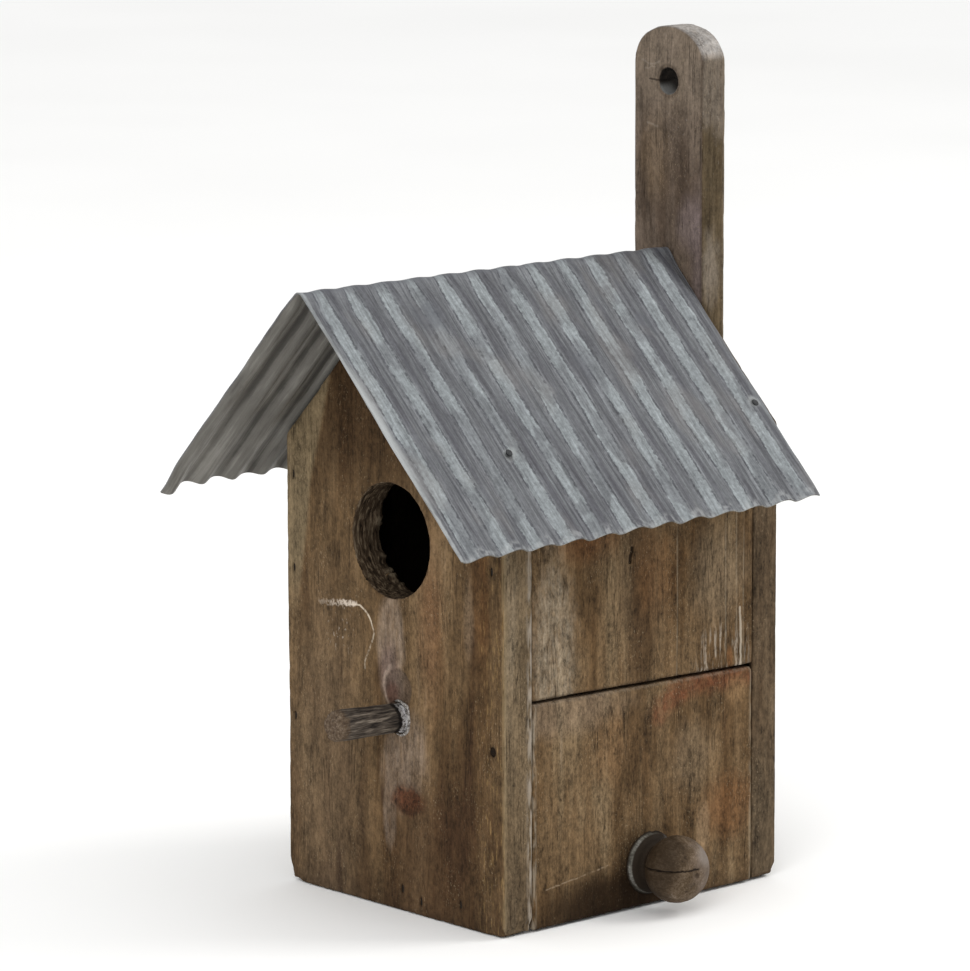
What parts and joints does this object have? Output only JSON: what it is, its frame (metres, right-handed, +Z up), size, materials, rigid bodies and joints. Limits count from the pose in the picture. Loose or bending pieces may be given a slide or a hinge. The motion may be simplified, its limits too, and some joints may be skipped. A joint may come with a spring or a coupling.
{
  "type": "birdhouse",
  "caption": "Small rustic wooden birdhouse with a folded corrugated metal roof, a round entrance, a twig perch, a rear hanging post and a knobbed clean-out door that swings out from its bottom.",
  "frame": {"origin": "centre of the floor board's underside, where the house stands", "axes": "+Z up; the entrance and perch face -Y, the hanging post is at +Y, and the clean-out door is on the +X side"},
  "size_m": [0.1655, 0.1902, 0.3106],
  "materials": {
    "board_wood": "dry weathered brown-grey with open vertical grain",
    "post_wood": "weathered brown-grey, worn pale at its rounded top",
    "perch_twig": "dull grey-brown twig with a paler cut end",
    "knob_wood": "turned wood, dull and lightly cracked",
    "galvanised_sheet": "weathered zinc with pale oxide bloom",
    "galvanised_nail": "dull zinc",
    "dark_steel": "dark oxidised steel"
  },
  "bodies": {
    "house": {"front_board": "board_wood", "back_board": "board_wood", "left_side_panel": "board_wood", "right_side_panel": "board_wood", "floor_board": "board_wood", "hanging_post": "post_wood", "perch": "perch_twig", "roof_sheet": "galvanised_sheet", "front_floor_brad_1": "dark_steel", "front_floor_brad_2": "dark_steel", "front_floor_brad_3": "dark_steel", "front_left_brad_1": "dark_steel", "front_left_brad_2": "dark_steel", "front_left_brad_3": "dark_steel", "front_right_brad": "dark_steel", "back_floor_brad_1": "dark_steel", "back_floor_brad_2": "dark_steel", "back_left_brad_1": "dark_steel", "back_left_brad_2": "dark_steel", "back_left_brad_3": "dark_steel", "back_right_brad_1": "dark_steel", "back_right_brad_2": "dark_steel", "pivot_nail_front": "dark_steel", "pivot_nail_back": "dark_steel", "post_screw_upper": "dark_steel", "post_screw_middle": "dark_steel", "post_screw_lower": "dark_steel", "roof_nail_right_front": "galvanised_nail", "roof_nail_right_back": "galvanised_nail", "roof_nail_left_front": "galvanised_nail", "roof_nail_left_back": "galvanised_nail"},
    "door": {"cleanout_door": "board_wood", "door_knob": "knob_wood", "knob_screw": "dark_steel"}
  },
  "joints": [
    {"name": "door_hinge", "type": "hinge", "parent": "house", "child": "door", "pos_m": [0.053, 0, 0.0671], "axis": [0, -1, 0], "range_deg": [0, 135]}
  ]
}
